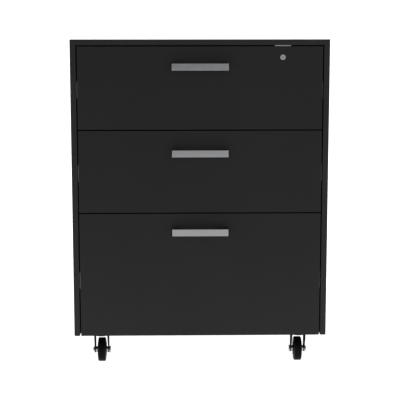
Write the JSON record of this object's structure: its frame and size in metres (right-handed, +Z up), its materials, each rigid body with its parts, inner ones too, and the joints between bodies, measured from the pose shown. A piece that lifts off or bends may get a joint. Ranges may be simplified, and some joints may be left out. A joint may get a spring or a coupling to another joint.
{
  "type": "rolling pedestal cabinet",
  "caption": "Rolling pedestal cabinet: dark board box on swivel casters, with bar-handled drawers on ball runners and a key lock on the upper one.",
  "frame": {"origin": "on the floor, below the middle of the box round the whole cabinet with its handles", "axes": "+Z up, +Y from the drawer fronts to the back, +X to the right of someone facing the fronts"},
  "size_m": [0.54, 0.42, 0.7],
  "materials": {
    "front_laminate": "matt charcoal laminate on board, with matching edge bands",
    "carcass_laminate": "matt charcoal laminate on board, with matching edge bands",
    "back_laminate": "thin hardboard, charcoal on both faces",
    "drawer_laminate": "light grey laminate on board",
    "drawer_base": "thin hardboard, light grey on top",
    "handle_metal": "satin anodised",
    "runner_steel": "bright zinc plate",
    "cage_steel": "bright zinc plate, with polished balls",
    "screw_steel": "zinc plate",
    "cam_metal": "cast zinc",
    "dowel_wood": "raw beech",
    "lock_nickel": "satin nickel plate",
    "plug_nickel": "satin nickel plate on brass",
    "bolt_steel": "satin nickel plate",
    "strike_steel": "bright zinc plate",
    "caster_steel": "pressed steel with a black semi-gloss coat",
    "axle_steel": "zinc plate",
    "bearing_steel": "polished and greased",
    "wheel_rubber": "smooth black"
  },
  "bodies": {
    "cabinet": {"top_panel": "carcass_laminate", "left_side_panel": "carcass_laminate", "right_side_panel": "carcass_laminate", "bottom_panel": "carcass_laminate", "back_panel": "back_laminate", "panel_cam_fittings": "cam_metal", "panel_dowels": "dowel_wood", "back_panel_nails": "screw_steel", "cabinet_screws": "screw_steel", "lock_strike_plate": "strike_steel", "top_drawer_outer_runners": "runner_steel", "middle_drawer_outer_runners": "runner_steel", "bottom_drawer_outer_runners": "runner_steel", "front_left_caster_plate": "caster_steel", "front_right_caster_plate": "caster_steel", "rear_left_caster_plate": "caster_steel", "rear_right_caster_plate": "caster_steel", "caster_swivel_bearings": "bearing_steel"},
    "top_drawer": {"top_drawer_front": "front_laminate", "top_drawer_left_side": "drawer_laminate", "top_drawer_right_side": "drawer_laminate", "top_drawer_back": "drawer_laminate", "top_drawer_bottom": "drawer_base", "top_drawer_handle": "handle_metal", "top_drawer_inner_runners": "runner_steel", "top_drawer_fasteners": "screw_steel", "lock_housing": "lock_nickel"},
    "top_ball_cages": {"top_drawer_ball_cages": "cage_steel"},
    "middle_drawer": {"middle_drawer_front": "front_laminate", "middle_drawer_left_side": "drawer_laminate", "middle_drawer_right_side": "drawer_laminate", "middle_drawer_back": "drawer_laminate", "middle_drawer_bottom": "drawer_base", "middle_drawer_handle": "handle_metal", "middle_drawer_inner_runners": "runner_steel", "middle_drawer_fasteners": "screw_steel"},
    "middle_ball_cages": {"middle_drawer_ball_cages": "cage_steel"},
    "bottom_drawer": {"bottom_drawer_front": "front_laminate", "bottom_drawer_left_side": "drawer_laminate", "bottom_drawer_right_side": "drawer_laminate", "bottom_drawer_back": "drawer_laminate", "bottom_drawer_bottom": "drawer_base", "bottom_drawer_handle": "handle_metal", "bottom_drawer_inner_runners": "runner_steel", "bottom_drawer_fasteners": "screw_steel"},
    "bottom_ball_cages": {"bottom_drawer_ball_cages": "cage_steel"},
    "lock_plug": {"lock_plug": "plug_nickel"},
    "lock_bolt": {"lock_bolt": "bolt_steel"},
    "front_left_fork": {"front_left_caster_fork": "caster_steel", "front_left_caster_axle": "axle_steel"},
    "front_left_wheel": {"front_left_caster_wheel": "wheel_rubber"},
    "front_right_fork": {"front_right_caster_fork": "caster_steel", "front_right_caster_axle": "axle_steel"},
    "front_right_wheel": {"front_right_caster_wheel": "wheel_rubber"},
    "rear_left_fork": {"rear_left_caster_fork": "caster_steel", "rear_left_caster_axle": "axle_steel"},
    "rear_left_wheel": {"rear_left_caster_wheel": "wheel_rubber"},
    "rear_right_fork": {"rear_right_caster_fork": "caster_steel", "rear_right_caster_axle": "axle_steel"},
    "rear_right_wheel": {"rear_right_caster_wheel": "wheel_rubber"}
  },
  "joints": [
    {"name": "top_drawer_slide", "type": "slide", "parent": "cabinet", "child": "top_drawer", "axis": [0, -1, 0], "range_m": [0, 0.25]},
    {"name": "top_ball_cages_slide", "type": "slide", "parent": "cabinet", "child": "top_ball_cages", "axis": [0, -1, 0], "range_m": [0, 0.125]},
    {"name": "middle_drawer_slide", "type": "slide", "parent": "cabinet", "child": "middle_drawer", "axis": [0, -1, 0], "range_m": [0, 0.25]},
    {"name": "middle_ball_cages_slide", "type": "slide", "parent": "cabinet", "child": "middle_ball_cages", "axis": [0, -1, 0], "range_m": [0, 0.125]},
    {"name": "bottom_drawer_slide", "type": "slide", "parent": "cabinet", "child": "bottom_drawer", "axis": [0, -1, 0], "range_m": [0, 0.25]},
    {"name": "bottom_ball_cages_slide", "type": "slide", "parent": "cabinet", "child": "bottom_ball_cages", "axis": [0, -1, 0], "range_m": [0, 0.125]},
    {"name": "lock_plug_turn", "type": "hinge", "parent": "top_drawer", "child": "lock_plug", "pos_m": [0.172, -0.19, 0.663], "axis": [0, 1, 0], "range_deg": [0, 180]},
    {"name": "lock_bolt_slide", "type": "slide", "parent": "top_drawer", "child": "lock_bolt", "axis": [0, 0, 1], "range_m": [0, 0.008]},
    {"name": "front_left_swivel", "type": "hinge", "parent": "cabinet", "child": "front_left_fork", "pos_m": [-0.2145, -0.15, 0.063], "axis": [0, 0, 1], "continuous": true},
    {"name": "front_left_wheel_spin", "type": "hinge", "parent": "front_left_fork", "child": "front_left_wheel", "pos_m": [-0.2145, -0.137, 0.026], "axis": [1, 0, 0], "continuous": true},
    {"name": "front_right_swivel", "type": "hinge", "parent": "cabinet", "child": "front_right_fork", "pos_m": [0.2145, -0.15, 0.063], "axis": [0, 0, 1], "continuous": true},
    {"name": "front_right_wheel_spin", "type": "hinge", "parent": "front_right_fork", "child": "front_right_wheel", "pos_m": [0.2145, -0.137, 0.026], "axis": [1, 0, 0], "continuous": true},
    {"name": "rear_left_swivel", "type": "hinge", "parent": "cabinet", "child": "rear_left_fork", "pos_m": [-0.2145, 0.17, 0.063], "axis": [0, 0, 1], "continuous": true},
    {"name": "rear_left_wheel_spin", "type": "hinge", "parent": "rear_left_fork", "child": "rear_left_wheel", "pos_m": [-0.2145, 0.183, 0.026], "axis": [1, 0, 0], "continuous": true},
    {"name": "rear_right_swivel", "type": "hinge", "parent": "cabinet", "child": "rear_right_fork", "pos_m": [0.2145, 0.17, 0.063], "axis": [0, 0, 1], "continuous": true},
    {"name": "rear_right_wheel_spin", "type": "hinge", "parent": "rear_right_fork", "child": "rear_right_wheel", "pos_m": [0.2145, 0.183, 0.026], "axis": [1, 0, 0], "continuous": true}
  ],
  "couplings": [
    {"joint": "top_ball_cages_slide", "follows": "top_drawer_slide", "ratio": 0.5},
    {"joint": "middle_ball_cages_slide", "follows": "middle_drawer_slide", "ratio": 0.5},
    {"joint": "bottom_ball_cages_slide", "follows": "bottom_drawer_slide", "ratio": 0.5},
    {"joint": "lock_plug_turn", "follows": "lock_bolt_slide", "rad_per_m": 392.69}
  ]
}
